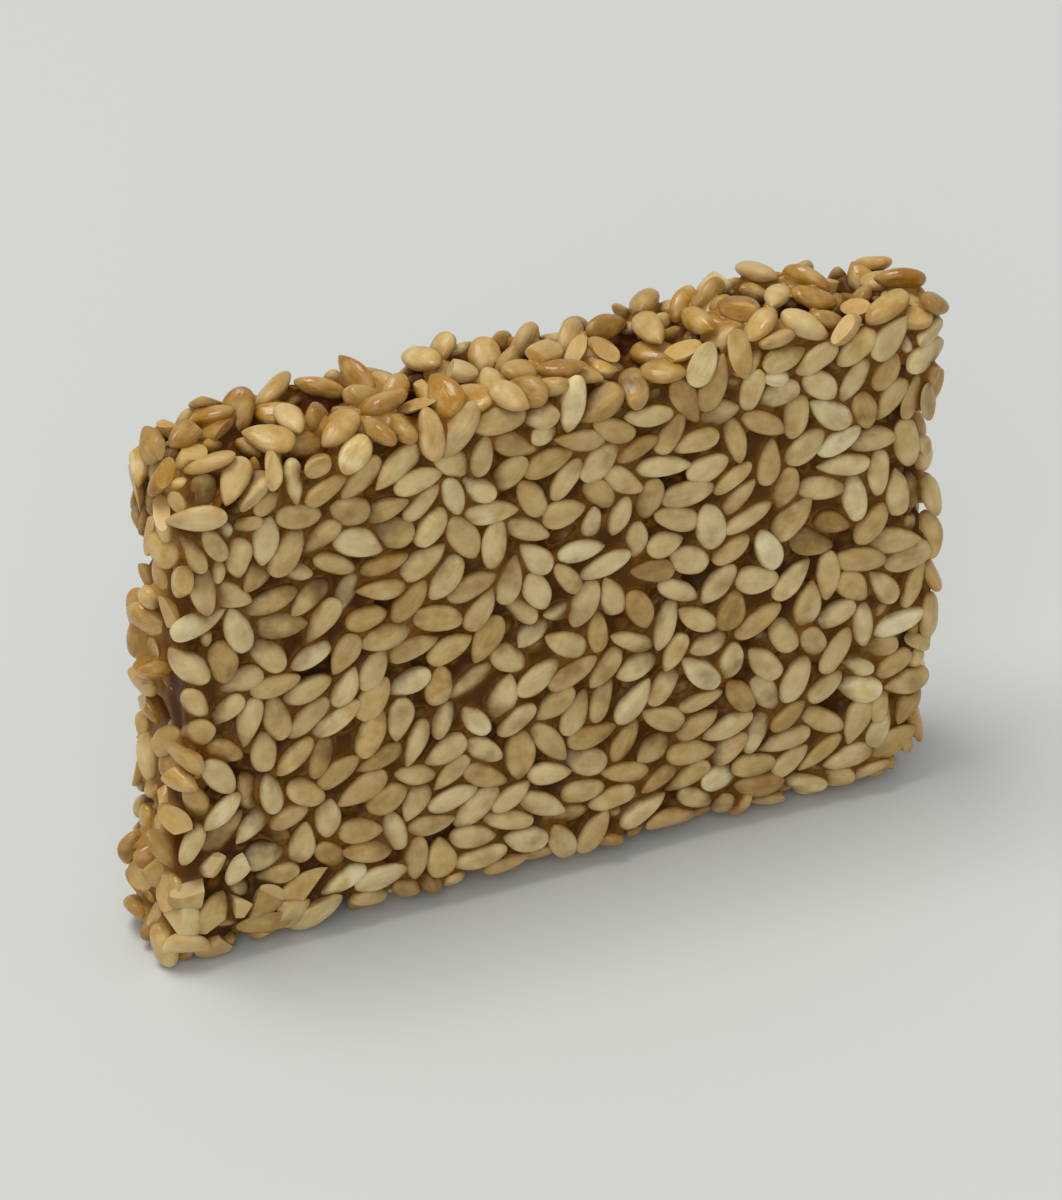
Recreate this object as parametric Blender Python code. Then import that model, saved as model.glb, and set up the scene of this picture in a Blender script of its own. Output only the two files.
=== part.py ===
# Sesame brittle slab: one knife-cut tablet of toasted sesame seeds set in caramel.
# It stands on a long cut edge, with the pressed face that is meant to be seen towards -Y.
# Origin: the middle of the foot, on the surface that the slab stands on. Metres, +Z up.

import math

import bmesh
import bpy
from mathutils import Vector, noise

# The slab, over the tips of its seeds
LENGTH = 0.0495  # along X, between the cut ends
THICKNESS = 0.0090  # along Y, between the pressed faces
HEIGHT = 0.0350  # along Z, between the cut long edges
EDGE_RADIUS = 0.0011  # how far the knife and the rolling rounded every edge
CORNER_RADIUS = 0.0021  # of the four corners of a pressed face, seen square on

# The seeds that make the surface uneven
SEED_PITCH = 0.0026  # from one seed to the next
SEED_REACH = 0.85  # how far a seed's dome runs, as a share of the pitch
PRESSED_RELIEF = 0.00050  # hollows between seeds on the two pressed faces
CUT_RELIEF = 0.00090  # hollows between seeds on the cut edges

# The unevenness of the tablet itself
FACE_WAVE = 0.00035  # how far the pressed faces bow in and out
FACE_WAVE_RUN = 0.0160
CUT_WANDER = 0.00090  # how far the cut edges stray from a straight line
CUT_WANDER_RUN = 0.0085
FOOT_LIFT = 0.00090  # how far the foot's rim rises off the ground in places
FOOT_LIFT_RUN = 0.0060
WAVE_LAYER, WANDER_LAYER, LIFT_LAYER = 3.0, 7.0, 11.0  # noise layers, so that none repeats

# The left end: the cut leans, and the knife dragged its lower corner out into a lip
END_LEAN = 0.0010
LIP_REACH = 0.0006  # past the end
LIP_BULGE = 0.0004  # past the shown face
LIP_RUN = 0.0075  # along X
LIP_RISE = 0.0065  # along Z

CELL = 0.00110  # size of one facet
WELD = 1e-6
STRAIGHT_DOWN = -0.999  # a surface whose way out is at or below this is the foot
HALF = Vector((LENGTH, THICKNESS, HEIGHT)) / 2

CARAMEL_BROWN = (0.431, 0.250, 0.098, 1.0)
SEED_TAN = (0.584, 0.393, 0.184, 1.0)
SEED_ROUGHNESS = 0.45


def clear_scene():
    for old in list(bpy.data.objects):
        bpy.data.objects.remove(old)


def along(axis, amount):
    step = Vector((0.0, 0.0, 0.0))
    step[axis] = amount
    return step


def gridded_block():
    """A block centred on the origin whose six faces are cut into even cells."""
    mesh = bmesh.new()
    bmesh.ops.create_cube(mesh, size=2.0)
    bmesh.ops.scale(mesh, vec=HALF, verts=mesh.verts)
    for axis in range(3):
        cells = round(2 * HALF[axis] / CELL)
        for cut in range(1, cells):
            bmesh.ops.bisect_plane(
                mesh,
                geom=mesh.verts[:] + mesh.edges[:] + mesh.faces[:],
                plane_co=along(axis, HALF[axis] * (2 * cut / cells - 1)),
                plane_no=along(axis, 1.0),
                dist=WELD,
            )
    return mesh


def held_within(point, margin):
    """The nearest point of the block that keeps this margin from its faces."""
    return Vector(
        max(margin - half, min(half - margin, value)) for value, half in zip(point, HALF)
    )


def outward(point):
    """The core's nearest point, its corners rounded, and the way out from it through this point."""
    core = held_within(point, EDGE_RADIUS)
    arm = core - held_within(point, CORNER_RADIUS)
    arm.y = 0.0
    spare = arm.length - (CORNER_RADIUS - EDGE_RADIUS)
    if spare > 0.0:
        core -= arm.normalized() * spare
    return core, (point - core).normalized()


def hollow_between_seeds(point):
    """0 on top of a seed, 1 in the gap between seeds."""
    nearest = noise.voronoi(point / SEED_PITCH)[0][0]
    return min(1.0, (nearest / SEED_REACH) ** 2)


def strays(point, run, layer):
    """A smooth number from -1 to 1 that changes over this run; each layer differs."""
    return noise.noise(point / run + along(2, layer))


def uneven(point, way_out):
    """The point with the tablet's waves and the hollows between its seeds."""
    pressed = abs(way_out.y)
    cut = 1.0 - pressed
    wave = pressed * FACE_WAVE * strays(point, FACE_WAVE_RUN, WAVE_LAYER)
    wander = cut * CUT_WANDER * strays(point, CUT_WANDER_RUN, WANDER_LAYER)
    relief = (pressed * PRESSED_RELIEF + cut * CUT_RELIEF) * hollow_between_seeds(point)
    return point + way_out * (wave + wander - relief)


def with_left_end(point):
    """Leans the left end and drags its lower front corner into the lip."""
    up = (point.z + HALF.z) / HEIGHT
    near_end = max(0.0, -point.x / HALF.x)
    from_end = (point.x + HALF.x) / LIP_RUN
    from_foot = (point.z + HALF.z) / LIP_RISE
    lip = math.exp(-(from_end**2 + from_foot**2))
    to_front = max(0.0, -point.y / HALF.y)
    lean = END_LEAN * (1.0 - up) * near_end**3
    return point - Vector((lean + LIP_REACH * lip, LIP_BULGE * lip * to_front, 0.0))


def on_its_foot(point, way_out):
    """Keeps the foot flat, and lifts its rim off the ground in places."""
    ground = -HALF.z
    if way_out.z < STRAIGHT_DOWN:
        point.z = ground
    elif way_out.z < 0.0 and abs(point.x) < HALF.x - LIP_RUN:
        point.z += FOOT_LIFT * max(0.0, strays(point, FOOT_LIFT_RUN, LIFT_LAYER))
    point.z = max(point.z, ground)
    return point


def shape(mesh):
    for vertex in mesh.verts:
        core, way_out = outward(vertex.co)
        rounded = core + way_out * EDGE_RADIUS
        moved = with_left_end(uneven(rounded, way_out))
        vertex.co = on_its_foot(moved, way_out)


def stand_at_origin(mesh):
    """Puts the middle of the footprint's box at the origin, with the foot at Z = 0."""
    low = Vector(min(v.co[axis] for v in mesh.verts) for axis in range(3))
    high = Vector(max(v.co[axis] for v in mesh.verts) for axis in range(3))
    middle = (low + high) / 2
    bmesh.ops.translate(mesh, vec=-Vector((middle.x, middle.y, low.z)), verts=mesh.verts)


def seeds_in_caramel():
    """Toasted seeds with caramel in the gaps: the gaps are darker and glossier."""
    material = bpy.data.materials.new("seeds_in_caramel")
    material.use_nodes = True
    nodes = material.node_tree.nodes
    links = material.node_tree.links
    surface = nodes["Principled BSDF"]
    surface.inputs["Roughness"].default_value = SEED_ROUGHNESS
    surface.inputs["Metallic"].default_value = 0.0
    cells = nodes.new("ShaderNodeTexVoronoi")
    cells.inputs["Scale"].default_value = 1 / SEED_PITCH
    tones = nodes.new("ShaderNodeValToRGB")
    tones.color_ramp.elements[0].color = SEED_TAN
    tones.color_ramp.elements[1].color = CARAMEL_BROWN
    place = nodes.new("ShaderNodeTexCoord")
    links.new(place.outputs["Object"], cells.inputs["Vector"])
    links.new(cells.outputs["Distance"], tones.inputs["Fac"])
    links.new(tones.outputs["Color"], surface.inputs["Base Color"])
    return material


def brittle_slab(collection):
    mesh = gridded_block()
    shape(mesh)
    stand_at_origin(mesh)
    data = bpy.data.meshes.new("brittle_slab")
    mesh.to_mesh(data)
    mesh.free()
    data.shade_smooth()
    data.materials.append(seeds_in_caramel())
    slab = bpy.data.objects.new("brittle_slab", data)
    collection.objects.link(slab)


def main():
    clear_scene()
    collection = bpy.data.collections.new("sesame_brittle_slab")
    bpy.context.scene.collection.children.link(collection)
    brittle_slab(collection)


main()
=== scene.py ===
import math
import time

import bmesh
import bpy
import numpy as np
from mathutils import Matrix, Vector, noise
from mathutils.bvhtree import BVHTree


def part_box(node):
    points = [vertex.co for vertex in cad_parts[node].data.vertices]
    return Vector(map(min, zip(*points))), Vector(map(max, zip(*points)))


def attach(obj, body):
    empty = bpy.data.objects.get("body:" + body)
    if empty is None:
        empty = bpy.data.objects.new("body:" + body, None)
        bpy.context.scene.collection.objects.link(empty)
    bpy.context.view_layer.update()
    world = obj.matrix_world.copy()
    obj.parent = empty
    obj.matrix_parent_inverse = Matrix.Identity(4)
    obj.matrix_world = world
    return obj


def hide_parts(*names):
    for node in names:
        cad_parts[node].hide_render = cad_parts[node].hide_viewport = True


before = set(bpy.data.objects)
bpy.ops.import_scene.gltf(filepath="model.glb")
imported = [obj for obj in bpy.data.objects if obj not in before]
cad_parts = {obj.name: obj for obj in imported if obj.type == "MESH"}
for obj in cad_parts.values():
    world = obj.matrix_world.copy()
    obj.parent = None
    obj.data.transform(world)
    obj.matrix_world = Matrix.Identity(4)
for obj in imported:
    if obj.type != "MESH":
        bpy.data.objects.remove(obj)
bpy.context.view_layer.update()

slabNode = "brittle_slab"
slabLow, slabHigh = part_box(slabNode)
slabMiddle = (slabLow + slabHigh) / 2
mm = 0.001
started = time.perf_counter()


def say(stage):
    print(f"{time.perf_counter() - started:6.1f} s  {stage}")


def linear(hexColour):
    # sRGB hex to the linear colour that the shaders take
    parts = [int(hexColour[i:i + 2], 16) / 255 for i in (1, 3, 5)]
    return (*[p / 12.92 if p <= 0.04045 else ((p + 0.055) / 1.055) ** 2.4 for p in parts], 1.0)


def addNode(tree, kind, settings=None, inputs=None, stops=None):
    # one node with its settings, its inputs as values or links, and a ramp's stops
    node = tree.nodes.new(kind)
    for name, value in (settings or {}).items():
        setattr(node, name, value)
    for name, value in (inputs or {}).items():
        if isinstance(value, bpy.types.NodeSocket):
            tree.links.new(value, node.inputs[name])
        else:
            node.inputs[name].default_value = value
    if stops:
        ramp = node.color_ramp.elements
        while len(ramp) < len(stops):
            ramp.new(0.5)
        for element, (place, colour) in zip(ramp, stops):
            element.position = place
            element.color = linear(colour)
    return node


def addObject(name, data):
    thing = bpy.data.objects.new(name, data)
    bpy.context.scene.collection.objects.link(thing)
    return thing


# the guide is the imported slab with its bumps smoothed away: the seeds lie against its inside

guideLook = {
    "weld": 0.01 * mm,
    "smoothing": 5,  # rounds
    "strength": 0.5,
}


def makeGuide(look):
    mesh = bmesh.new()
    mesh.from_mesh(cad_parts[slabNode].data)
    bmesh.ops.remove_doubles(mesh, verts=mesh.verts, dist=look["weld"])
    for _ in range(look["smoothing"]):
        bmesh.ops.smooth_vert(
            mesh, verts=mesh.verts, factor=look["strength"],
            use_axis_x=True, use_axis_y=True, use_axis_z=True,
        )
    bmesh.ops.triangulate(mesh, faces=mesh.faces)
    mesh.normal_update()
    return mesh


def nearestOn(tree, points):
    # for each point: the nearest place on this surface, and the way out there
    places = np.empty((len(points), 3))
    ways = np.empty((len(points), 3))
    for i, point in enumerate(points.tolist()):
        place, way, _, _ = tree.find_nearest(point)
        places[i] = place
        ways[i] = way
    return places, ways


def depthUnder(tree, points):
    # how deep each point lies under this surface, and the way out there
    places, ways = nearestOn(tree, points)
    return ((places - points) * ways).sum(1), ways


def unit(vectors):
    return vectors / np.maximum(np.linalg.norm(vectors, axis=-1, keepdims=True), 1e-12)


def cloudy(points, run, layer):
    # smooth numbers about -1 to 1 that change over this run; each layer has its own
    return np.array([noise.noise(Vector(p) / run + Vector((0, 0, layer))) for p in points.tolist()])


# where the seeds lie, and how each is turned

packing = {
    "seed": 11,
    "outerPerMm2": 0.178,  # seeds seen on the surface
    "innerPerMm2": 0.150,  # seeds seen through the gaps between them
    "outerDepth": 0.46 * mm,
    "innerDepth": 1.30 * mm,
    "sunkShare": 0.36,  # of the outer seeds, which lie up to this much deeper
    "sunkBy": 0.42 * mm,
    "length": (3.24 * mm, 0.30 * mm),  # mean and spread
    "width": (1.71 * mm, 0.18 * mm),
    "thickness": (1.00 * mm, 0.11 * mm),
    "widest": 1.7,  # spreads from the mean
    # the cut edges, where nothing pressed the seeds
    "pressedTo": 0.35,  # how far a seed may face away from Y and still count as pressed
    "edgeFrom": 0.6,  # and from where it counts as on a cut edge
    "side": 0.7,  # how far a place must face a side to belong to it
    "onCuts": (0.96, 1.08, 1.12),  # times the size there
    "heapRun": 4.5 * mm,  # the seeds stand out there in heaps
    "heapWave": 0.7,
    "heapSpread": (-0.12, 0.42),
    "heapElsewhere": 0.6,  # times that, away from the top edge
    "heapRise": 0.5 * mm,
    "proud": (-0.1, 0.9),  # mm that a seed may stand out: least, and most, which cut seeds have
    "stuckOn": 150,  # more seeds, which the knife dragged onto the cut edges
    "stuckFacing": (0.3, -0.5),  # most along Y, and least along Z: none on the foot
    "stuckDepth": (0.0, 0.45 * mm),
    "stuckProud": 0.8 * mm,
    "stuckBroken": 0.35,  # share of them that snapped
    "stuckSlice": 1.2 * mm,  # the knife passes over them
    "cameAway": 0.695,  # less leaves more hollows in the cut edges
    "hollows": (2.2, 2.3 * mm, 0.1),  # their depth, run, and what is taken off
    "sticksOut": (1.25 * mm, 0.95 * mm),  # whole and cut seeds whose end stands further out fell off
    # the pressed faces, where the knife dragged seeds out
    "torn": 0.55,  # how rough they get
    "tornFrom": (20 * mm, 16 * mm),  # from the left end: how far in it starts, and how far it grows
    "tornPatches": (1.4, 9 * mm, 0.15),  # their strength, run, and what is taken off
    "tornDeeper": 1.6,
    # how the seeds are turned
    "rolledTowards": 26.0,  # degrees above +X: the way that most seeds on a pressed face point
    "rolledSpread": 30.0,
    "rolledShare": 0.55,
    "pressedTilt": 0.17,  # how far seeds on the pressed faces lean out of the face
    "cutTilt": 0.55,  # and on the cut edges
    "onEdge": 0.30,  # share of the seeds on the cut edges that still lie as they were rolled
    "rolledFlat": (-0.14, 0.04),  # mm out of the guide, above which the pressed seeds are flat
    # how they are pushed apart: first their places, then the seeds
    "pitch": 1.04,  # times the spacing that the number of seeds gives
    "evenness": 40,  # rounds
    "spread": 0.22,  # share of a push made in one round
    "gap": 0.21 * mm,  # caramel kept between two seeds
    "rounds": 80,
    "moreRounds": 20,  # after each filling of holes
    "listEvery": 8,  # rounds, after which the near pairs are listed again
    "near": 1.02,  # lengths between the middles of a pair
    "moves": 0.55,
    "turns": 0.35,
    "mostTurn": 0.15,  # radians in one round
    "gyration": 0.31,  # of a seed, as a share of its length
    "keepsDepth": 0.6,
    # holes
    "hole": 0.68 * mm,  # a seed is added where no other is this near
    "holeSpots": 14000,
    "closerOnCuts": 0.60,
    "coversBelow": 0.35,  # how much a seed's height above a spot counts
    "mostAdded": 160,
    "addedDeeper": 0.12 * mm,
    "addedSize": 0.92,
    # cut seeds
    "slicedShare": 0.22,  # of the seeds on the cut edges
    "slicedShareLeft": 0.40,  # at the left end
    "slicedShareCorner": 1.0,  # and on the shown face near the dragged lower left corner
    "slicedDepth": 0.25 * mm,
    "sliceAt": (-0.15, 0.25),  # mm out of the guide
    "snapped": 0.5,  # share of the cut seeds that also snapped across
    "corner": 8.0 * mm,
    "flakes": 12,  # bigger broken seeds that the knife smeared over that corner
    "flakesReach": (10.0 * mm, 5.5 * mm),  # from the corner along X, and up
    "flakesApart": 2.2 * mm,
    "flakesEvenness": 12,
    "flakesClear": 1.35 * mm,  # no other seed's middle is this near one
    "flakeSize": (1.12, 1.40, 1.0),  # times the usual size
    "flakeDepth": (0.15 * mm, 0.45 * mm),
    "flakeTilt": 0.13,
    # colour
    "tone": (0.48, 0.14, 0.17),  # 0 pale, 1 dark: usual, how much more on the cut edges, and spread; the darker cut edges are painted shade that dims the top and ends under the strong light from above
    "toneLimits": (0.08, 0.86),
    "glaze": (0.06, 0.50, 0.5, 0.16),  # sugar film: least, more on the cut edges, patches, spread
    "glazeRun": 6 * mm,
}


def surfacePoints(guide, count, rng):
    # count points spread evenly over the guide by area
    corners = np.array([[v.co for v in face.verts] for face in guide.faces])
    areas = np.array([face.calc_area() for face in guide.faces])
    picked = rng.choice(len(areas), count, p=areas / areas.sum())
    a, b = rng.random((2, count, 1))
    over = (a + b) > 1
    a, b = np.where(over, 1 - a, a), np.where(over, 1 - b, b)
    face = corners[picked]
    return face[:, 0] + a * (face[:, 1] - face[:, 0]) + b * (face[:, 2] - face[:, 0])


def spreadApart(points, tree, pitch, rounds, share):
    # pushes near points apart along the guide until they keep about this pitch
    for _ in range(rounds):
        gap = points[:, None] - points[None]
        far = np.linalg.norm(gap, axis=2) + np.eye(len(points))
        push = np.clip(pitch - far, 0, None) / far
        points = points + share * (push[..., None] * gap).sum(axis=1)
        points = nearestOn(tree, points)[0]
    return points


def turned(frames, turns):
    # the frames, each turned by its rotation vector
    angle = np.linalg.norm(turns, axis=1)[:, None, None]
    axis = unit(turns)
    x, y, z = axis.T
    o = np.zeros_like(x)
    k = np.array([[o, -z, y], [z, o, -x], [-y, x, o]]).transpose(2, 0, 1)
    spin = np.eye(3) + np.sin(angle) * k + (1 - np.cos(angle)) * (k @ k)
    return spin @ frames


def edgeShare(cut):
    # 0 on the pressed faces and 1 on the cut edges, softly at their rims
    return np.clip(cut * 2 - 0.6, 0, 1)


def tornAway(places, look):
    # 0 where a pressed face is neat, towards 1 near the left end and in a few patches
    start, growth = look["tornFrom"]
    strength, run, less = look["tornPatches"]
    nearLeft = np.clip((slabLow.x + start - places[:, 0]) / growth, 0, 1)
    return look["torn"] * np.clip(nearLeft + strength * cloudy(places, run, 4.0) - less, 0, 1)


def cameAway(places, look):
    # towards 1 in the hollows of the cut edges, where the knife pulled seeds out
    strength, run, less = look["hollows"]
    return np.clip(strength * cloudy(places, run, 6.0) - less, 0, 1)


def layDown(places, ways, cut, look, rng):
    # frames whose columns run along a seed, across it and through it
    count = len(ways)
    rolled = np.stack([np.zeros(count), np.sign(rng.normal(size=count)), np.zeros(count)], 1)
    asRolled = (rng.random(count) < look["onEdge"]) * edgeShare(cut)
    rough = np.maximum(cut, tornAway(places, look))
    tilt = look["pressedTilt"] + (look["cutTilt"] - look["pressedTilt"]) * rough
    facing = ways + asRolled[:, None] * (rolled - ways)
    thin = unit(facing + tilt[:, None] * rng.normal(size=ways.shape))
    angle = np.radians(rng.normal(look["rolledTowards"], look["rolledSpread"], count))
    angle = np.where(rng.random(count) < look["rolledShare"], angle, rng.uniform(0, math.pi, count))
    angle += math.pi * (rng.random(count) < 0.5)
    wanted = np.stack([np.cos(angle), np.zeros(count), np.sin(angle)], 1)
    wanted = np.where(cut[:, None] > 0.5, rng.normal(size=ways.shape), wanted)
    along = unit(wanted - (wanted * thin).sum(1)[:, None] * thin)
    return np.stack([along, np.cross(thin, along), thin], axis=2)


# five balls stand for a seed as it is pushed: their places, as shares of its length and width
ballPlaces = np.array([[0, 0], [0.32, 0], [-0.32, 0], [0.03, 0.21], [0.03, -0.21]])


def settle(seeds, tree, look, rounds):
    # rigid seeds push each other and the guide's inside until they hardly overlap
    size = seeds["size"]
    radius = size[:, 2] / 2
    wide = radius + look["gap"] / 2
    local = np.zeros((len(size), len(ballPlaces), 3))
    local[:, :, 0] = ballPlaces[:, 0] * size[:, :1]
    local[:, :, 1] = ballPlaces[:, 1] * size[:, 1:2]
    reach = size[:, 0].max() * look["near"]
    inertia = (size[:, :1] * look["gyration"]) ** 2 * 2
    for turn in range(rounds):
        balls = np.einsum("nij,nbj->nbi", seeds["frame"], local)
        if turn % look["listEvery"] == 0:
            gap = seeds["centre"][:, None] - seeds["centre"][None]
            first, second = np.nonzero(np.triu((gap**2).sum(2) < reach**2, 1))
        apart = (
            (seeds["centre"][first, None] + balls[first])[:, :, None]
            - (seeds["centre"][second, None] + balls[second])[:, None]
        )
        far = np.linalg.norm(apart, axis=3)
        overlap = np.clip((wide[first] + wide[second])[:, None, None] - far, 0, None)
        push = (overlap / np.maximum(far, 1e-9))[..., None] * apart
        onFirst, onSecond = push.sum(2), -push.sum(1)
        force = np.zeros_like(seeds["centre"])
        torque = np.zeros_like(force)
        touches = np.ones(len(force))
        for who, pushed in ((first, onFirst), (second, onSecond)):
            np.add.at(force, who, pushed.sum(1))
            np.add.at(torque, who, np.cross(balls[who], pushed).sum(1))
            np.add.at(touches, who, (pushed != 0).any(axis=(1, 2)))
        depth, way = depthUnder(tree, seeds["centre"])
        ballDepth = depth[:, None] - (balls * way[:, None]).sum(2)
        short = np.clip((radius - seeds["proud"])[:, None] - ballDepth, 0, None)
        pressed = -short[..., None] * way[:, None]
        force += pressed.sum(1)
        torque += np.cross(balls, pressed).sum(1)
        force += (look["keepsDepth"] * (depth - seeds["depth"]))[:, None] * way
        seeds["centre"] = seeds["centre"] + force / touches[:, None] * look["moves"]
        spin = look["turns"] * torque / inertia / touches[:, None]
        seeds["frame"] = turned(seeds["frame"], np.clip(spin, -look["mostTurn"], look["mostTurn"]))


def newSeeds(places, ways, layer, look, rng):
    count = len(places)
    cut = 1 - np.abs(ways[:, 1])
    depth = (look["outerDepth"], look["innerDepth"])[layer]
    torn = tornAway(places, look)
    sunk = (rng.random(count) < look["sunkShare"] + torn) * rng.random(count)
    sunk = sunk * look["sunkBy"] * (1 + look["tornDeeper"] * torn)
    heaped = cloudy(places, look["heapRun"], 5.0) * look["heapWave"]
    heaped += rng.uniform(*look["heapSpread"], count)
    heaped *= np.where(ways[:, 2] > 0.5, 1.0, look["heapElsewhere"])
    leftEnd = ways[:, 0] < -look["side"]
    fromCorner = np.hypot(places[:, 0] - slabLow.x, places[:, 2] - slabLow.z)
    inCorner = (ways[:, 1] < -look["side"]) & (fromCorner < look["corner"])
    share = np.where(leftEnd, look["slicedShareLeft"], look["slicedShare"] * (cut > look["edgeFrom"]))
    share = np.where(inCorner, look["slicedShareCorner"], share)
    sliced = (layer == 0) & (rng.random(count) < share) & (ways[:, 2] > -look["side"])
    stray = np.clip(rng.normal(size=(3, count)), -look["widest"], look["widest"])
    usual = (look["length"], look["width"], look["thickness"])
    size = np.stack([mean + spread * s for (mean, spread), s in zip(usual, stray)], 1)
    size *= 1 + (np.array(look["onCuts"]) - 1) * edgeShare(cut)[:, None]
    return {
        "centre": places - ways * depth,
        "frame": layDown(places, ways, np.maximum(cut, sliced), look, rng),
        "size": size,
        "depth": np.where(
            sliced, look["slicedDepth"], depth + sunk - (layer == 0) * cut * heaped * look["heapRise"],
        ),
        "proud": np.where(sliced, look["proud"][1], np.clip(cut * heaped, *look["proud"])) * mm,
        "layer": np.full(count, layer),
        "sliced": sliced,
        "slice": rng.uniform(*look["sliceAt"], count) * mm,
        "snaps": inCorner + (rng.random(count) < look["snapped"]).astype(int),
    }


def stack(parts):
    return {key: np.concatenate([part[key] for part in parts]) for key in parts[0]}


def fillHoles(seeds, guide, tree, look, rng):
    # adds a seed wherever the outer layer leaves too wide a hole
    spots = surfacePoints(guide, look["holeSpots"], rng)
    outer = seeds["layer"] == 0
    clear = np.full(len(spots), np.inf)
    weight = 1 + look["closerOnCuts"] * (1 - np.abs(nearestOn(tree, spots)[1][:, 1]))

    def lower(centres, frames, sizes):
        for centre, axes, size in zip(centres, frames, sizes):
            near = np.abs(spots - centre).max(1) < 4 * mm  # a seed covers nothing further off
            local = (spots[near] - centre) @ axes
            local[:, 2] *= look["coversBelow"]
            half = size / 2
            out = np.linalg.norm(local / half, axis=1)
            gap = np.linalg.norm(local, axis=1) * (1 - 1 / np.maximum(out, 1e-6))
            clear[near] = np.minimum(clear[near], gap * weight[near])

    lower(seeds["centre"][outer], seeds["frame"][outer], seeds["size"][outer])
    found = []
    while clear.max() > look["hole"] and len(found) < look["mostAdded"]:
        place = spots[clear.argmax()]
        _, way = nearestOn(tree, place[None])
        extra = newSeeds(place[None], way, 0, look, rng)
        extra["depth"] += look["addedDeeper"]
        extra["size"] *= look["addedSize"]
        lower(extra["centre"], extra["frame"], extra["size"])
        clear[np.linalg.norm(spots - place, axis=1) < look["hole"]] = 0
        found.append(extra)
    return stack([seeds] + found) if found else seeds, len(found)


def strewOn(guide, tree, look, rng):
    # seeds that the knife dragged out and that stuck on the cut edges
    places = surfacePoints(guide, 8 * look["stuckOn"], rng)  # more than enough on the cut edges
    ways = nearestOn(tree, places)[1]
    mostY, leastZ = look["stuckFacing"]
    chosen = np.nonzero((np.abs(ways[:, 1]) < mostY) & (ways[:, 2] > leastZ))[0][:look["stuckOn"]]
    places, ways = places[chosen], ways[chosen]
    extra = newSeeds(places, ways, 0, look, rng)
    extra["sliced"] = rng.random(len(chosen)) < look["stuckBroken"]
    extra["snaps"] = np.maximum(extra["snaps"], 1)
    extra["slice"][:] = look["stuckSlice"]
    extra["depth"] = rng.uniform(*look["stuckDepth"], len(chosen))
    extra["proud"][:] = look["stuckProud"]
    extra["centre"] = places - ways * extra["depth"][:, None]
    return extra


def smearFlakes(seeds, guide, tree, look, rng):
    # at the lower left corner of the shown face, broken seeds take the place of whole ones
    places = surfacePoints(guide, 750 * look["flakes"], rng)  # more than enough in the corner
    ways = nearestOn(tree, places)[1]
    reach = look["flakesReach"]
    far = np.hypot((places[:, 0] - slabLow.x) / reach[0], (places[:, 2] - slabLow.z) / reach[1])
    places = places[(ways[:, 1] < -0.5) & (far < 1)][:look["flakes"]]
    places = spreadApart(places, tree, look["flakesApart"], look["flakesEvenness"], look["spread"])
    ways = nearestOn(tree, places)[1]
    extra = newSeeds(places, ways, 0, look, rng)
    extra["sliced"][:] = True
    extra["snaps"] = rng.integers(1, 3, len(places))
    extra["size"] *= look["flakeSize"]
    flat = {**look, "pressedTilt": look["flakeTilt"], "cutTilt": look["flakeTilt"]}
    extra["frame"] = layDown(places, ways, np.zeros(len(places)), flat, rng)
    extra["centre"] = places - ways * rng.uniform(*look["flakeDepth"], (len(places), 1))
    near = np.linalg.norm(seeds["centre"][:, None] - extra["centre"][None], axis=2).min(axis=1)
    stays = (near > look["flakesClear"]) | (seeds["layer"] > 0)
    return stack([{key: values[stays] for key, values in seeds.items()}, extra])


def reachOut(seeds, tree):
    # how far the further end of each seed stands out of the guide
    reach = []
    for half in (-0.5, 0.5):
        ends = seeds["centre"] + half * seeds["size"][:, :1] * seeds["frame"][:, :, 0]
        places, ways = nearestOn(tree, ends)
        reach.append(np.linalg.norm(ends - places, axis=1) * np.sign(((ends - places) * ways).sum(1)))
    return np.max(reach, axis=0)


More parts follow.
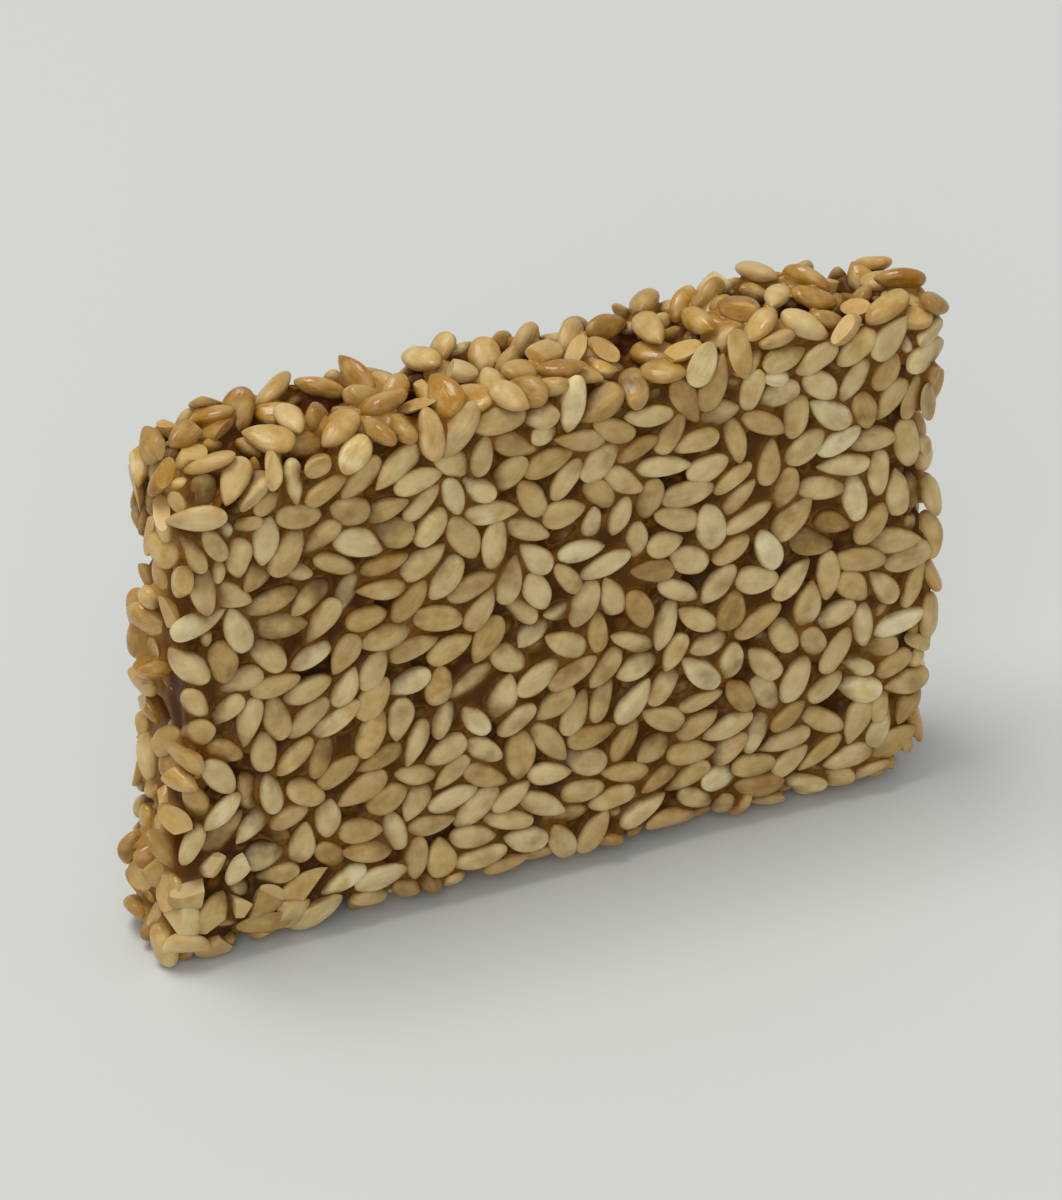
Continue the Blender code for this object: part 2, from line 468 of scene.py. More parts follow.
def packSeeds(look):
    rng = np.random.default_rng(look["seed"])
    guide = makeGuide(guideLook)
    tree = BVHTree.FromBMesh(guide)
    area = sum(face.calc_area() for face in guide.faces) / mm**2
    layers = []
    for layer, perMm2 in ((0, look["outerPerMm2"]), (1, look["innerPerMm2"])):
        places = surfacePoints(guide, round(area * perMm2), rng)
        pitch = mm * look["pitch"] / math.sqrt(perMm2)
        places = spreadApart(places, tree, pitch, look["evenness"], look["spread"])
        layers.append(newSeeds(places, nearestOn(tree, places)[1], layer, look, rng))
    seeds = stack(layers)
    say(f"spread {len(seeds['centre'])} seeds")
    settle(seeds, tree, look, look["rounds"])
    for again in range(2):
        seeds, added = fillHoles(seeds, guide, tree, look, rng)
        if again == 0:
            seeds = stack([seeds, strewOn(guide, tree, look, rng)])
        settle(seeds, tree, look, look["moreRounds"])
        say(f"filled {added} holes")
    seeds = smearFlakes(seeds, guide, tree, look, rng)
    seeds["place"], seeds["way"] = nearestOn(tree, seeds["centre"])
    seeds["cut"] = 1 - np.abs(seeds["way"][:, 1])
    stays = cameAway(seeds["centre"], look) < look["cameAway"]
    stays |= (seeds["cut"] < look["edgeFrom"]) | (seeds["layer"] > 0)
    wholeReach, cutReach = look["sticksOut"]
    stays &= reachOut(seeds, tree) < np.where(seeds["sliced"], cutReach, wholeReach)
    seeds = {key: values[stays] for key, values in seeds.items()}
    count, cut = stays.sum(), seeds["cut"]
    # the cut edges, the top among them, are painted darker: painted shade against the light from above
    usual, onCuts, spread = look["tone"]
    seeds["tone"] = np.clip(usual + onCuts * cut + spread * rng.normal(size=count), *look["toneLimits"])
    least, onCuts, patches, spread = look["glaze"]
    patchy = 0.5 + 0.5 * cloudy(seeds["centre"], look["glazeRun"], 9.0)
    glaze = least + onCuts * cut + patches * (patchy - 0.4) + rng.normal(0, spread, count)
    seeds["glaze"] = np.clip(glaze, 0, 1)
    neverFlat = 9.0  # far outside the slab
    flatAbove = np.where(cut < look["pressedTo"], rng.uniform(*look["rolledFlat"], count), neverFlat)
    seeds["press"] = flatAbove * mm
    seeds["variant"] = rng.integers(0, seedShape["variants"], count)
    seeds["own"] = rng.uniform(0, 40, (count, 3))
    return seeds, guide, tree


# the shape of one seed, in several variants, and many of them joined into a piece

seedShape = {
    "seed": 100,
    "variants": 16,
    "fine": (14, 18),  # rings along a seed, and points round each
    "sunk": (10, 14),
    "coarse": (7, 10),  # for the caramel to wrap
    "tip": (0.50, 0.56, 0.84),  # least, usual and most: higher is sharper, 0.5 would be round
    "tipFromSide": 0.8,  # times that
    "end": (0.41, 0.50),
    "square": (2.0, 2.5),  # 2 is an oval across, more is squarer
    "lean": 0.12,
    "dents": 0.040,
    "wrinkles": 0.020,
    "hollow": 0.16,
    "hollowAt": (0.6, 0.22, 0.5),  # from the tip, half its length, and half its width
    "rolledSoft": 0.05 * mm,  # how softly the rolled flats end
    "flank": 6,  # more narrows the browned line along each flank
    "streaked": (0.3, 1.0, 1.0),  # the squeeze that makes streaks run along the seed
}


def seedForm(rings, segments, variant, look):
    # a teardrop 1 long, 1 wide and 1 thick: its points, and how far along and round each is
    rng = np.random.default_rng(look["seed"] + variant)
    tip, end = rng.triangular(*look["tip"]), rng.uniform(*look["end"])
    power = 2 / rng.uniform(*look["square"])
    lean = rng.uniform(-look["lean"], look["lean"])
    wave = rng.uniform(0, 2 * math.pi, 4)
    hollow = look["hollow"] * rng.uniform(-0.3, 1.0)
    hollowPlace, halfLong, halfWide = look["hollowAt"]
    u = (1 - np.cos(math.pi * np.arange(rings + 2) / (rings + 1))) / 2
    peak = tip / (tip + end)
    wide = (u / peak) ** tip * ((1 - u) / (1 - peak)) ** end / 2
    thick = (u / peak) ** (tip * look["tipFromSide"]) * ((1 - u) / (1 - peak)) ** end
    thick = thick / thick.max() / 2
    angle = 2 * math.pi * np.arange(segments) / segments
    across = np.sign(np.cos(angle)) * np.abs(np.cos(angle)) ** power
    through = np.sign(np.sin(angle)) * np.abs(np.sin(angle)) ** power
    points, marks = [(-0.5, 0.0, 0.0)], [(0.0, 0.0)]
    for k in range(1, rings + 1):
        bend = lean * ((u[k] - 0.5) ** 2 - 0.25)
        # slow waves dent the seed, and a faster one wrinkles it
        dent = 1 + look["dents"] * (
            np.sin(6 * u[k] + wave[0] + angle) + np.sin(2 * angle + 5 * u[k] + wave[1])
        ) + look["wrinkles"] * np.sin(4 * angle + wave[2] + 2.0 * u[k])
        deep = np.exp(-((u[k] - hollowPlace) / halfLong) ** 2 - (across / halfWide) ** 2)
        dish = 1 - hollow * deep * (through > 0)
        for j in range(segments):
            y = wide[k] * across[j] * dent[j] + bend
            z = thick[k] * through[j] * dent[j] * dish[j]
            points.append((u[k] - 0.5, y, z))
            marks.append((u[k], angle[j]))
    points.append((0.5, 0.0, 0.0))
    marks.append((1.0, 0.0))
    return np.array(points), np.array(marks)


def seedFaces(rings, segments):
    # faces as point numbers, and the same corners laid out flat from 0 to 1
    faces, flat = [], []
    last = rings * segments + 1
    rise = [(k + 1) / (rings + 1) for k in range(-1, rings + 1)]
    for j in range(segments):
        n = (j + 1) % segments
        left, right, middle = j / segments, (j + 1) / segments, (j + 0.5) / segments
        faces.append((0, 1 + n, 1 + j))
        flat.append(((middle, 0), (right, rise[1]), (left, rise[1])))
        for k in range(rings - 1):
            a, b = 1 + k * segments, 1 + (k + 1) * segments
            faces.append((a + j, a + n, b + n, b + j))
            low, high = rise[k + 1], rise[k + 2]
            flat.append(((left, low), (right, low), (right, high), (left, high)))
        a = 1 + (rings - 1) * segments
        faces.append((last, a + j, a + n))
        flat.append(((middle, 1), (left, rise[rings]), (right, rise[rings])))
    return faces, flat


# for the bake, each seed has a square cell: its skin below, and up to three cut faces in a row above
bakeCell = {
    "skinSize": (0.92, 0.74),
    "skinCorner": (0.04, 0.04),
    "cuts": 3,
    "cutRow": 0.90,
    "cutSize": (0.9, 0.2),
    "cutSpan": 4.4 * mm,  # wider than any cut face
}


def bakeCells(count):
    # the corner of each seed's cell in a square grid, and the cells' side
    side = math.ceil(math.sqrt(count))
    ids = np.arange(count)
    return np.stack([ids % side, ids // side], 1) / side, 1 / side


def pointValues(mesh, name, values, kind="FLOAT"):
    layer = mesh.attributes.new(name, kind, "POINT")
    layer.data.foreach_set("value" if kind == "FLOAT" else "vector", values.astype(np.float32).ravel())


def joinSeeds(name, seeds, chosen, detail, look=seedShape):
    # all the chosen seeds as one mesh, with what the material reads on each point
    rings, segments = look[detail]
    forms = [seedForm(rings, segments, v, look) for v in range(look["variants"])]
    faces, flat = seedFaces(rings, segments)
    perSeed = len(forms[0][0])
    ids = np.nonzero(chosen)[0]
    shape = np.array([forms[v][0] for v in seeds["variant"][ids]])
    marks = np.array([forms[v][1] for v in seeds["variant"][ids]])
    local = shape * seeds["size"][ids][:, None]
    points = np.einsum("nij,nbj->nbi", seeds["frame"][ids], local) + seeds["centre"][ids][:, None]
    # seeds on the pressed faces are rolled flat at the surface
    way, soft = seeds["way"][ids][:, None], look["rolledSoft"]
    height = ((points - seeds["place"][ids][:, None]) * way).sum(2)
    limit = seeds["press"][ids][:, None]
    flatter = limit - soft * np.logaddexp(0, (limit - height) / soft)
    points += (flatter - height)[..., None] * way
    points[..., 2] = np.maximum(points[..., 2], slabLow.z)
    mesh = bpy.data.meshes.new(name)
    corners = np.concatenate([np.array(f) for f in faces])
    loops = ((np.arange(len(ids)) * perSeed)[:, None] + corners[None]).ravel()
    counts = np.tile([len(f) for f in faces], len(ids))
    mesh.vertices.add(len(ids) * perSeed)
    mesh.vertices.foreach_set("co", points.astype(np.float32).ravel())
    mesh.loops.add(len(loops))
    mesh.loops.foreach_set("vertex_index", loops.astype(np.int32))
    mesh.polygons.add(len(counts))
    starts = np.cumsum(counts) - counts
    mesh.polygons.foreach_set("loop_start", starts.astype(np.int32))
    mesh.polygons.foreach_set("loop_total", counts.astype(np.int32))
    mesh.update(calc_edges=True)
    own = local / mm * look["streaked"] + seeds["own"][ids][:, None]
    pointValues(mesh, "own", own, "FLOAT_VECTOR")
    pointValues(mesh, "along", marks[..., 0])
    pointValues(mesh, "flank", np.abs(np.cos(marks[..., 1])) ** look["flank"])
    pointValues(mesh, "sliced", np.zeros(len(ids) * perSeed))
    for mark in ("tone", "glaze", "cut"):
        pointValues(mesh, mark, np.repeat(seeds[mark][ids], perSeed))
    places, side = bakeCells(len(ids))
    skin = np.concatenate([np.array(f) for f in flat]) * bakeCell["skinSize"] + bakeCell["skinCorner"]
    layout = mesh.uv_layers.new(name="OFBake")
    layout.data.foreach_set("uv", (places[:, None] + skin[None] * side).astype(np.float32).ravel())
    mesh.shade_smooth()
    return addObject(name, mesh), ids, perSeed


knife = {
    "seed": 3,
    "wobble": 0.16,  # how far each cut leans from its neighbours
    "snapWobble": 0.32,
    "rim": 0.05 * mm,  # hull left round the pale inside
    "snapAt": (0.12, 0.34),  # from the seed's middle, as a share of its length or width
    "snapTurn": (1.2, 1.9),  # radians from one snap to the next
    "leastThick": 0.12 * mm,  # spread of the points of a piece: thinner slivers are dropped
}


def connectedTo(start):
    # every vertex joined to this one by edges, in the order met
    found, waiting = {start: True}, [start]
    while waiting:
        vertex = waiting.pop()
        for edge in vertex.link_edges:
            other = edge.other_vert(vertex)
            if other not in found:
                found[other] = True
                waiting.append(other)
    return found


def whatIsLeft(verts):
    # the whole of the seed that these vertices belonged to, or nothing if the knife took it all
    left = [vert for vert in verts if vert.is_valid]
    return list(connectedTo(left[0])) if left else []


def planesThrough(seed, seeds, look, rng):
    # where the knife went through this seed, and where it snapped: points and ways off
    way = seeds["way"][seed]
    sliceAt = seeds["place"][seed] + way * seeds["slice"][seed]
    planes = [(sliceAt, way + rng.normal(0, look["wobble"], 3))]
    turn = rng.uniform(0, 2 * math.pi)
    for _ in range(seeds["snaps"][seed]):
        flat = seeds["frame"][seed][:, :2] @ (math.cos(turn), math.sin(turn))
        flat = flat if flat @ way > 0 else -flat  # what breaks off is the outer part
        size = abs(seeds["size"][seed][:2] @ (math.cos(turn), math.sin(turn)))
        place = seeds["centre"][seed] + flat * size * rng.uniform(*look["snapAt"])
        planes.append((place, flat + rng.normal(0, look["snapWobble"], 3)))
        turn += rng.uniform(*look["snapTurn"])
    return planes


def layOutCut(faces, verts, layout, across, way, turn, corner, side):
    # gives a cut face its place in the seed's cell
    middle = sum((vert.co for vert in verts), Vector()) / max(len(verts), 1)
    across = (across - across.project(Vector(way))).normalized()
    upward = Vector(way).normalized().cross(across)
    wide, high = bakeCell["cutSize"]
    for face in faces:
        for loop in face.loops:
            arm = (loop.vert.co - middle) / bakeCell["cutSpan"]
            spot = Vector((
                (turn + 0.5 + wide * arm.dot(across)) / bakeCell["cuts"],
                bakeCell["cutRow"] + high * arm.dot(upward),
            ))
            loop[layout].uv = Vector(corner) + spot * side


def cutWithKnife(piece, ids, perSeed, seeds, look):
    # cuts each seed of the piece flat at its planes and closes it
    rng = np.random.default_rng(look["seed"])
    places, side = bakeCells(len(ids))
    work = bmesh.new()
    work.from_mesh(piece.data)
    work.verts.ensure_lookup_table()
    sliced = work.verts.layers.float["sliced"]
    layout = work.loops.layers.uv["OFBake"]
    each = [work.verts[i * perSeed:(i + 1) * perSeed] for i in range(len(ids))]
    slivers = 0
    for verts, seed, corner in zip(each, ids, places):
        for turn, (place, way) in enumerate(planesThrough(seed, seeds, look, rng)):
            verts = whatIsLeft(verts)
            if not verts:
                break
            edges = dict.fromkeys(edge for vert in verts for edge in vert.link_edges)
            faces = dict.fromkeys(face for vert in verts for face in vert.link_faces)
            made = bmesh.ops.bisect_plane(
                work, geom=[*verts, *edges, *faces], plane_co=place, plane_no=way,
                clear_outer=True, dist=1e-7,
            )
            rim = [part for part in made["geom_cut"] if isinstance(part, bmesh.types.BMEdge)]
            if len(rim) < 3:
                continue
            lid = bmesh.ops.edgeloop_fill(work, edges=rim)["faces"]
            ring = bmesh.ops.inset_individual(work, faces=lid, thickness=look["rim"])["faces"]
            verts = [vert for face in lid + ring for vert in face.verts]
            for edge in rim:
                edge.smooth = False
            for face in lid:
                for vert in face.verts:
                    vert[sliced] = 1.0
            across = Vector(seeds["frame"][seed][:, turn % 2])
            layOutCut(lid + ring, verts, layout, across, way, turn, corner, side)
        whole = whatIsLeft(verts)
        thin = np.linalg.eigvalsh(np.cov(np.array([vert.co for vert in whole]).T))[0] if whole else 0
        if thin < look["leastThick"] ** 2:
            slivers += 1
            bmesh.ops.delete(work, geom=whole, context="VERTS")
    say(f"cut {len(ids)} seeds, and dropped {slivers} of them as slivers")
    work.to_mesh(piece.data)
    work.free()


# caramel: it wraps the seeds, fills the middle of the slab and sinks between the seeds as it cools

caramelShape = {
    "voxel": 0.32 * mm,  # finer makes the piece too heavy
    "smoothing": 6,
    "coreDepth": (0.95 * mm, 0.35 * mm),  # mean and how far it wanders
    "coreRun": 3.5 * mm,
    "sink": (0.22 * mm, 0.12 * mm),  # between seeds on the pressed faces, and how far that wanders
    "sinkRun": 2.2 * mm,
    "sinkOnCuts": 0.20 * mm,  # less on the cut edges, where the knife smeared the sugar
    "deeperOnCuts": 0.35 * mm,  # how much deeper the crevices between seeds go there
    "leftFrom": (0.5, 0.9),  # how far a place must face the left end to belong to it
    "leftDepth": 0.45 * mm,  # the left end is cut clean, so the caramel lies near its surface
    "leftSink": 0.05 * mm,
    "pits": 0.5 * mm,  # in the hollows of the cut edges
    "footClear": 0.02 * mm,  # the seeds of the foot stand on the ground, not the caramel
    "trim": 0.12 * mm,  # kept below a seed's cut
    "thin": 0.14 * mm,  # sugar this thin over a seed lets the seed's colour through
    "buried": 0.06 * mm,  # a seed that lies deeper all over isn't made
    "line": 0.16 * mm,  # how fast the caramel drawn up a seed, with the painted shade where the seed meets the caramel, fades
    "lineReach": 0.8 * mm,
}


def meshPoints(mesh, what="co"):
    # the mesh's points as rows, or their normals
    values = np.empty(len(mesh.vertices) * 3)
    mesh.vertices.foreach_get(what, values)
    return values.reshape(-1, 3)


def biggestShell(mesh):
    # drops the sealed pockets and crumbs that the joining leaves inside
    work = bmesh.new()
    work.from_mesh(mesh)
    loose, biggest = dict.fromkeys(work.verts), {}
    while len(loose) > len(biggest):
        shell = connectedTo(next(iter(loose)))
        for vertex in shell:
            del loose[vertex]
        biggest = max(biggest, shell, key=len)
    bmesh.ops.delete(work, geom=[v for v in work.verts if v not in biggest], context="VERTS")
    work.to_mesh(mesh)
    work.free()


def bakeSides(mesh, ways):
    # lays the six sides of the slab out beside each other for the bake
    corner = np.array([slabLow, slabHigh]) - np.array(slabMiddle)
    span = (corner[1] - corner[0]) * 1.06  # leaves a gap between two sides
    topRow = 2 * span[2]
    endRow = topRow + span[1]
    full = endRow + span[1]
    points = meshPoints(mesh) - np.array(slabMiddle)
    layout = mesh.uv_layers.new(name="OFBake")
    spots = np.empty((len(mesh.loops), 2))
    for face in mesh.polygons:
        way = ways[list(face.vertices)].sum(0)
        axis = int(np.abs(way).argmax())
        front = way[axis] > 0
        for loop, vertex in zip(face.loop_indices, face.vertices):
            x, y, z = points[vertex] + span / 2
            if axis == 1:
                spots[loop] = (x, z + front * span[2])
            elif axis == 2:
                spots[loop] = (x + front * span[0], topRow + y)
            else:
                spots[loop] = (z + front * span[2], endRow + y)
    layout.data.foreach_set("uv", (spots / max(full, 2 * span[0])).astype(np.float32).ravel())


def cutClean(ways, look):
    # 1 on the left end, 0 elsewhere
    start, end = look["leftFrom"]
    return np.clip((-ways[..., 0] - start) / (end - start), 0, 1)


def wrapSeeds(look, seeds, slicedSeeds, guide):
    # one body round all the seeds and the middle of the slab, and what it wraps
    body, _, _ = joinSeeds("caramel", seeds, ~seeds["sliced"], "coarse")
    work = bmesh.new()
    work.from_mesh(slicedSeeds.data)
    work.normal_update()
    for vertex in work.verts:
        vertex.co -= vertex.normal * look["trim"]
    work.from_mesh(body.data)
    wrapped = BVHTree.FromBMesh(work)
    core = guide.copy()
    mean, wander = look["coreDepth"]
    for vertex in core.verts:
        inward = mean + look["deeperOnCuts"] * (1 - abs(vertex.normal.y))
        inward += wander * 2 * noise.noise(vertex.co / look["coreRun"])
        clean = cutClean(np.array(vertex.normal), look)
        vertex.co -= vertex.normal * (inward + (look["leftDepth"] - inward) * clean)
    coreMesh = bpy.data.meshes.new("core")
    core.to_mesh(coreMesh)
    core.free()
    work.from_mesh(coreMesh)
    work.to_mesh(body.data)
    work.free()
    remesh = body.modifiers.new("join", "REMESH")
    remesh.mode = "VOXEL"
    remesh.voxel_size = look["voxel"]
    smooth = body.modifiers.new("run together", "SMOOTH")
    smooth.factor = 0.5
    smooth.iterations = look["smoothing"]
    graph = bpy.context.evaluated_depsgraph_get()
    made = bpy.data.meshes.new_from_object(body.evaluated_get(graph))
    body.modifiers.clear()
    body.data = made
    return body, wrapped


def sinkBetween(mesh, tree, look):
    # the caramel sinks below the seeds that it wrapped
    points, normals = meshPoints(mesh), meshPoints(mesh, "normal")
    mean, wander = look["sink"]
    way = nearestOn(tree, points)[1]
    cut = 1 - np.abs(way[:, 1])
    sink = mean + (look["sinkOnCuts"] - mean) * cut + wander * 2 * cloudy(points, look["sinkRun"], 2.0)
    sink += (look["leftSink"] - sink) * cutClean(way, look)
    sink += look["pits"] * cut * cameAway(points, packing)
    points = points - normals * sink[:, None]
    points[:, 2] = np.maximum(points[:, 2], slabLow.z + look["footClear"])
    mesh.vertices.foreach_set("co", points.ravel())
    mesh.update()


def pourCaramel(look, seeds, slicedSeeds, guide, tree):
    body, wrapped = wrapSeeds(look, seeds, slicedSeeds, guide)
    made = body.data
    biggestShell(made)
    sinkBetween(made, tree, look)
    points = meshPoints(made)
    depth, way = depthUnder(tree, points)
    over = np.array([wrapped.find_nearest(point)[3] for point in points.tolist()])
    # the caramel's depth drives its painted shade in the gaps and the cut edges
    pointValues(made, "depth", depth / mm)
    pointValues(made, "thin", np.exp(-over / look["thin"]))
    pointValues(made, "cut", 1 - np.abs(way[:, 1]))
    bakeSides(made, way)
    made.shade_smooth()
    return body


def seenSeeds(seeds, surface, look):
    # the seeds that show outside the caramel: the ones buried in it aren't made
    rough, ids, perSeed = joinSeeds("rough", seeds, ~seeds["sliced"], "coarse")
    depth, _ = depthUnder(surface, meshPoints(rough.data))
    bpy.data.meshes.remove(rough.data)
    seen = seeds["sliced"].copy()
    seen[ids] = depth.reshape(-1, perSeed).min(axis=1) < look["buried"]
    return seen


def markCaramel(pieces, surface, tree, look):
    # how deep each point of the seeds lies, and how near the caramel: 1 at its line, 0 well away; from
    # both the seeds' material paints caramel colour and painted shade
    for piece in pieces:
        points = meshPoints(piece.data)
        near = np.zeros(len(points))
        for i, point in enumerate(points.tolist()):
            _, _, _, far = surface.find_nearest(point, look["lineReach"])
            near[i] = 0.0 if far is None else math.exp(-far / look["line"])
        pointValues(piece.data, "caramelLineAndShade", near)
        pointValues(piece.data, "depth", depthUnder(tree, points)[0] / mm)


# materials: noise and marks on the points give measures, which drive layers of colour

seedLook = {
    "name": "toastedSesameUnderSugarFilm",
    # hulled sesame, toasted: pale cream to honey, satin, under a thin sugar film that glints
    "marks": ("tone", "glaze", "along", "flank", "depth", "cut", "sliced", "caramelLineAndShade"),
    # each pattern's size and detail, and whether it is squeezed along the seed
    "patterns": {
        "mottle": (1.1 * mm, 3.0, False),  # toasted and paler patches
        "streak": (0.30 * mm, 3.0, True),  # wrinkles along the seed
        "grain": (0.20 * mm, 3.0, False),  # real cells are finer: this coarse, they show
    },
    # each new measure maps another from one range to a second, or multiplies it and then adds
    "measures": [
        ("filmPatches", "mottle", (0.35, 0.65), (0.4, 1.3)),
        ("film", "glaze", "filmPatches", 0.0),
        ("speckled", "mottle", 0.5, "tone"),
        ("streaked", "streak", 0.3, "speckled"),
        ("shade", "streaked", 1.0, -0.4),
        ("linePatches", "mottle", (0.3, 0.7), (0.7, 1.5)),
        ("patchyLine", "caramelLineAndShade", "linePatches", 0.0),
        ("lineOnCuts", "cut", (0.3, 0.9), (1.0, 0.3)),
        ("line", "patchyLine", "lineOnCuts", 0.0),
        # the deeper a point of a seed lies, the darker brown it is painted: caramel over it, and
        # painted shade in the gaps
        ("deeper", "mottle", 0.9, "depth"),
        ("soakAndShade", "cut", -0.25, "deeper"),
        ("roughness", "film", (0.1, 0.7), (0.48, 0.24)),
        ("coat", "film", (0.20, 0.85), (0.06, 0.45)),
    ],
    "tones": [
        (0.00, "#ebdfb6"), (0.22, "#dcc895"), (0.50, "#cbb079"), (0.78, "#b69557"), (1.00, "#987438"),
    ],
    # what drives each layer of colour, from where to where, how much of it, and how it joins
    "layers": [
        ("along", (0.00, 0.24), (0.50, 0.0), "#8f682b", "MIX"),  # toasting browns the tip first
        ("flank", (0.0, 1.0), (0.0, 0.28), "#8f682b", "MIX"),
        ("sliced", (0.0, 1.0), (0.0, 0.85), "#d0b27a", "MIX"),  # the pale inside
        ("film", (0.0, 1.0), (0.0, 1.0), "#eece66", "MULTIPLY"),  # set sugar over the seed
        ("line", (0.10, 1.0), (0.0, 0.95), "#80591c", "MIX"),  # caramel drawn up the seed's foot, and painted shade where the seed meets the caramel
        ("soakAndShade", (0.65, 1.50), (0.0, 0.92), "#53340b", "MIX"),  # caramel over the deeper parts of the seed, and painted shade deep in the gaps
    ],
    "bumps": [("grain", 0.30, 0.03 * mm), ("streak", 0.6, 0.12 * mm)],  # strength and depth
    "finish": {
        "Roughness": "roughness",
        "Subsurface Weight": 0.25,
        "Subsurface Radius": (1.0, 0.55, 0.22),
        "Subsurface Scale": 0.5 * mm,
        "Specular IOR Level": 0.35,
        "Coat Weight": "coat",
        "Coat Roughness": 0.08,
    },
}

# the seeds seen in the gaps lie under caramel, so they hardly glint
sunkLook = {
    **seedLook,
    "name": "sesameSunkInCaramel",
    "finish": {**seedLook["finish"], "Specular IOR Level": 0.06, "Coat Weight": 0.0},
}

caramelLook = {
    "name": "darkBoiledSugar",
    # boiled sugar, cooked dark: amber where thin or full of fine air; the near black brown in the gaps
    # is painted shade
    "marks": ("depth", "thin", "cut"),
    "patterns": {"flow": (0.9 * mm, 2.0, False)},  # lumps and strings
    "measures": [
        ("smeared", "depth", -0.8, "cut"),
        # painted shade: deep caramel on the cut edges is painted darker
        ("pitShade", "depth", "cut", 0.0),
        ("gloss", "smeared", (0.6, 1.1), (0.0, 0.5)),  # the knife's smear is glossy, rolled faces dull
    ],
    "base": "#694413",
    "layers": [
        ("depth", (0.2, 1.2), (0.0, 1.0), "#4a2b08", "MIX"),  # painted shade: darker the deeper the caramel lies between the seeds
        ("thin", (0.25, 0.95), (0.0, 1.0), "#87591c", "MIX"),  # thin over a seed
        ("pitShade", (0.15, 0.75), (0.0, 1.0), "#552c08", "MIX"),  # painted shade deep in the cut edges
        ("smeared", (0.45, 1.05), (0.0, 1.0), "#a67c3a", "MIX"),  # over the seeds of the cut edges
    ],
    "bumps": [("flow", 0.5, 0.15 * mm)],
    "finish": {
        "Roughness": 0.3, "Specular IOR Level": 0.08, "Coat Weight": "gloss", "Coat Roughness": 0.06,
    },
}


def remap(tree, value, source, target):
    # the value taken from one range to another, and kept inside it
    return addNode(tree, "ShaderNodeMapRange", {"clamp": True}, {
        "Value": value, "From Min": source[0], "From Max": source[1],
        "To Min": target[0], "To Max": target[1],
    }).outputs["Result"]


def makeMaterial(look):
    material = bpy.data.materials.new(look["name"])
    material.use_nodes = True
    tree = material.node_tree
    tree.nodes.clear()
    values = {}
    for mark in look.get("marks", ()):
        values[mark] = addNode(tree, "ShaderNodeAttribute", {"attribute_name": mark}).outputs["Fac"]
    for name, (size, detail, squeezed) in look.get("patterns", {}).items():
        if squeezed:  # the seed's own coordinates, in millimetres
            place = addNode(tree, "ShaderNodeAttribute", {"attribute_name": "own"}).outputs["Vector"]
        else:
            place = addNode(tree, "ShaderNodeTexCoord").outputs["Object"]
        values[name] = addNode(tree, "ShaderNodeTexNoise", None, {
            "Vector": place, "Scale": (mm if squeezed else 1) / size, "Detail": detail,
        }).outputs["Fac"]
    for name, source, second, third in look.get("measures", ()):
        if isinstance(second, tuple):
            values[name] = remap(tree, values[source], second, third)
        else:
            values[name] = addNode(tree, "ShaderNodeMath", {"operation": "MULTIPLY_ADD"}, {
                0: values[source], 1: values.get(second, second), 2: values.get(third, third),
            }).outputs[0]
    if "tones" in look:
        ramp = addNode(tree, "ShaderNodeValToRGB", None, {"Fac": values["shade"]}, look["tones"])
        colour = ramp.outputs["Color"]
    else:
        colour = linear(look["base"])
    for name, start, to, hexColour, blend in look.get("layers", ()):
        # inputs 6 and 7 of the mix are its colours
        colour = addNode(tree, "ShaderNodeMix", {"data_type": "RGBA", "blend_type": blend}, {
            "Factor": remap(tree, values[name], start, to), 6: colour, 7: linear(hexColour),
        }).outputs[2]
    normal = {}
    for name, strength, deep in look.get("bumps", ()):
        bump = addNode(tree, "ShaderNodeBump", None, {
            "Strength": strength, "Distance": deep, "Height": values[name], **normal,
        })
        normal = {"Normal": bump.outputs["Normal"]}
    finish = {socket: values.get(value, value) for socket, value in look["finish"].items()}
    skin = addNode(tree, "ShaderNodeBsdfPrincipled", None, {"Base Color": colour, **finish, **normal})
    addNode(tree, "ShaderNodeOutputMaterial", None, {"Surface": skin.outputs["BSDF"]})
    return material


# stage, light and camera

stageLook = {
    # matt paint, so that only the light shades it
    "floor": {
        "name": "palePaint", "base": "#d1d3d1",
        "finish": {"Roughness": 0.6, "Specular IOR Level": 0.2},
    },
    "floorRadius": 4.0,
    "world": "#e4e6e4",
    "worldStrength": 0.58,
    # each soft light's place, size, power and colour
    "lights": {
        "ceiling": ((-0.25, 0.12, 1.1), (0.6, 0.42), 6.7, "#fffdf8"),
        "front": ((-0.5, -0.9, 0.7), (0.8, 0.8), 3.8, "#fbfcff"),
    },
}

cameraLook = {
    "azimuth": -23.5,  # degrees from straight in front, towards the left end
    "elevation": 34.0,
    "distance": 0.435,
    "lens": 218.0,
    "sensor": 36.0,
    "clip": (0.01, 20.0),
}


def aim(thing, target):
    thing.rotation_euler = (Vector(target) - thing.location).to_track_quat("-Z", "Y").to_euler()


def makeStage(look):
    data = bpy.data.meshes.new("floor")
    mesh = bmesh.new()
    bmesh.ops.create_circle(mesh, cap_ends=True, radius=look["floorRadius"], segments=96)
    mesh.to_mesh(data)
    mesh.free()
    data.materials.append(makeMaterial(look["floor"]))
    floor = addObject("floor", data)
    world = bpy.data.worlds.new("studio")
    world.use_nodes = True
    background = world.node_tree.nodes["Background"]
    background.inputs["Color"].default_value = linear(look["world"])
    background.inputs["Strength"].default_value = look["worldStrength"]
    bpy.context.scene.world = world
    for name, settings in look["lights"].items():
        softLight(name, *settings)


def softLight(name, place, size, power, colour):
    data = bpy.data.lights.new(name, "AREA")
    data.shape = "RECTANGLE"
    data.size, data.size_y = size
    data.energy = power
    data.color = linear(colour)[:3]
    light = addObject(name, data)
    light.location = place
    aim(light, slabMiddle)


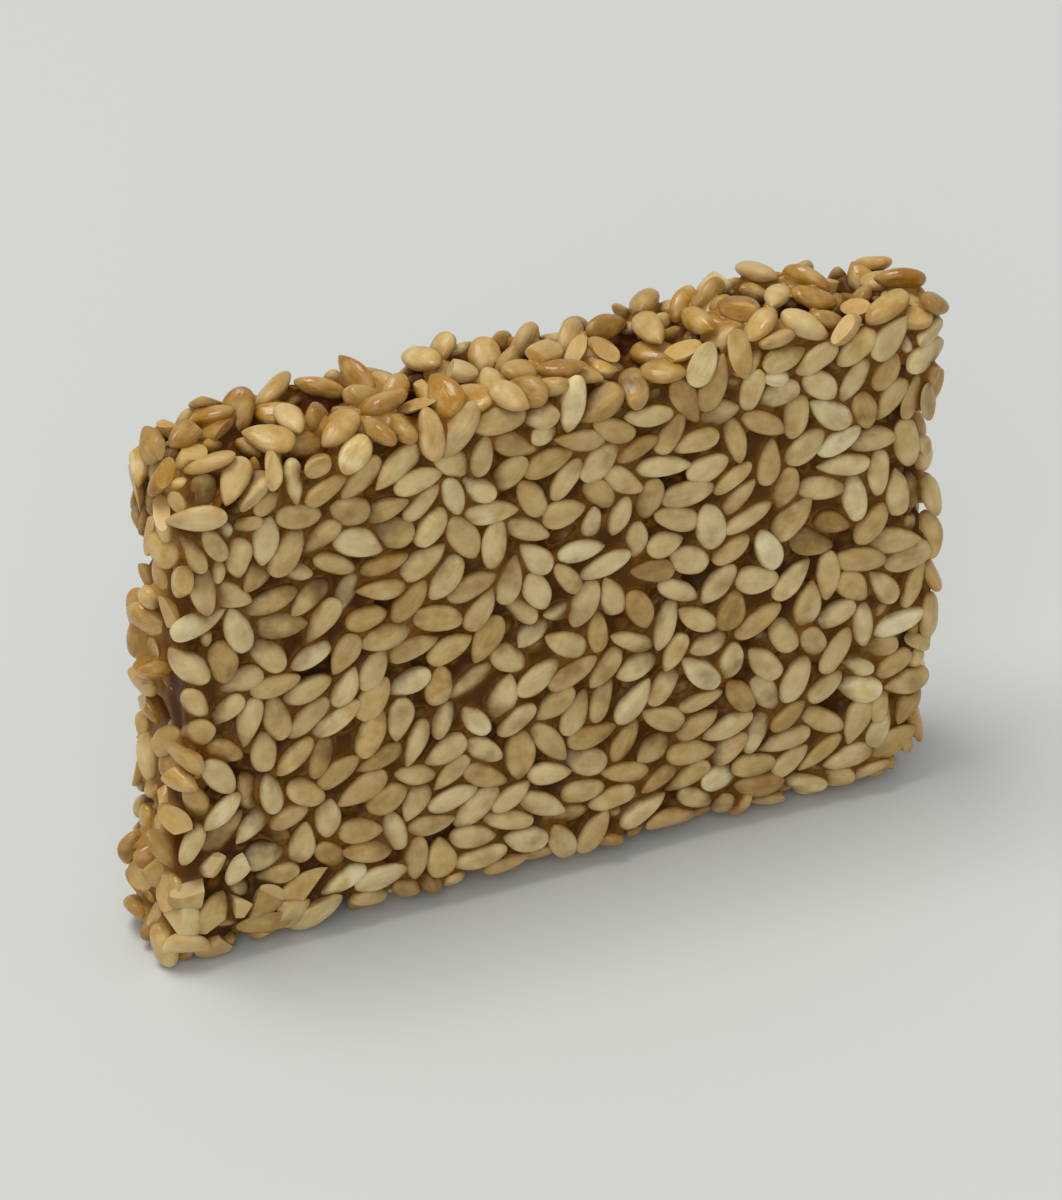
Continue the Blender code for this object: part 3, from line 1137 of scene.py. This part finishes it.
def makeCamera(look):
    data = bpy.data.cameras.new("camera")
    data.lens = look["lens"]
    data.sensor_width = look["sensor"]
    data.clip_start, data.clip_end = look["clip"]
    camera = addObject("camera", data)
    a, e = math.radians(look["azimuth"]), math.radians(look["elevation"])
    back = Vector((math.sin(a) * math.cos(e), -math.cos(a) * math.cos(e), math.sin(e)))
    camera.location = slabMiddle + back * look["distance"]
    aim(camera, slabMiddle)
    bpy.context.scene.camera = camera


makeStage(stageLook)
makeCamera(cameraLook)
bpy.context.scene.view_settings.view_transform = "Standard"
say("stage ready")

seeds, guide, tree = packSeeds(packing)
say("seeds settled")

sliced, ids, perSeed = joinSeeds("slicedSeeds", seeds, seeds["sliced"], "fine")
cutWithKnife(sliced, ids, perSeed, seeds, knife)
caramel = pourCaramel(caramelShape, seeds, sliced, guide, tree)
caramel.data.materials.append(makeMaterial(caramelLook))
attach(caramel, "root")
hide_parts(slabNode)
say("caramel poured")

surface = BVHTree.FromObject(caramel, bpy.context.evaluated_depsgraph_get())
seen = seenSeeds(seeds, surface, caramelShape)
say(f"{seen.sum()} of {len(seen)} seeds show")
outer = seen & (seeds["layer"] == 0) & ~seeds["sliced"]
pressed = outer & (seeds["cut"] < packing["pressedTo"])
pieces = [sliced]
for name, chosen, detail in (
    ("frontSeeds", pressed & (seeds["way"][:, 1] < 0), "fine"),
    ("backSeeds", pressed & (seeds["way"][:, 1] > 0), "fine"),
    ("edgeSeeds", outer & ~pressed, "fine"),
    ("innerSeeds", seen & (seeds["layer"] == 1), "sunk"),
):
    pieces.append(joinSeeds(name, seeds, chosen, detail)[0])
sesame, sunkSesame = makeMaterial(seedLook), makeMaterial(sunkLook)
for piece in pieces:
    piece.data.materials.append(sunkSesame if piece.name == "innerSeeds" else sesame)
    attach(piece, "root")
for piece in [caramel] + pieces:
    say(f"{piece.name}: {sum(len(face.vertices) - 2 for face in piece.data.polygons)} triangles")
markCaramel(pieces, surface, tree, caramelShape)
say("caramel line marked")

bpy.context.view_layer.update()
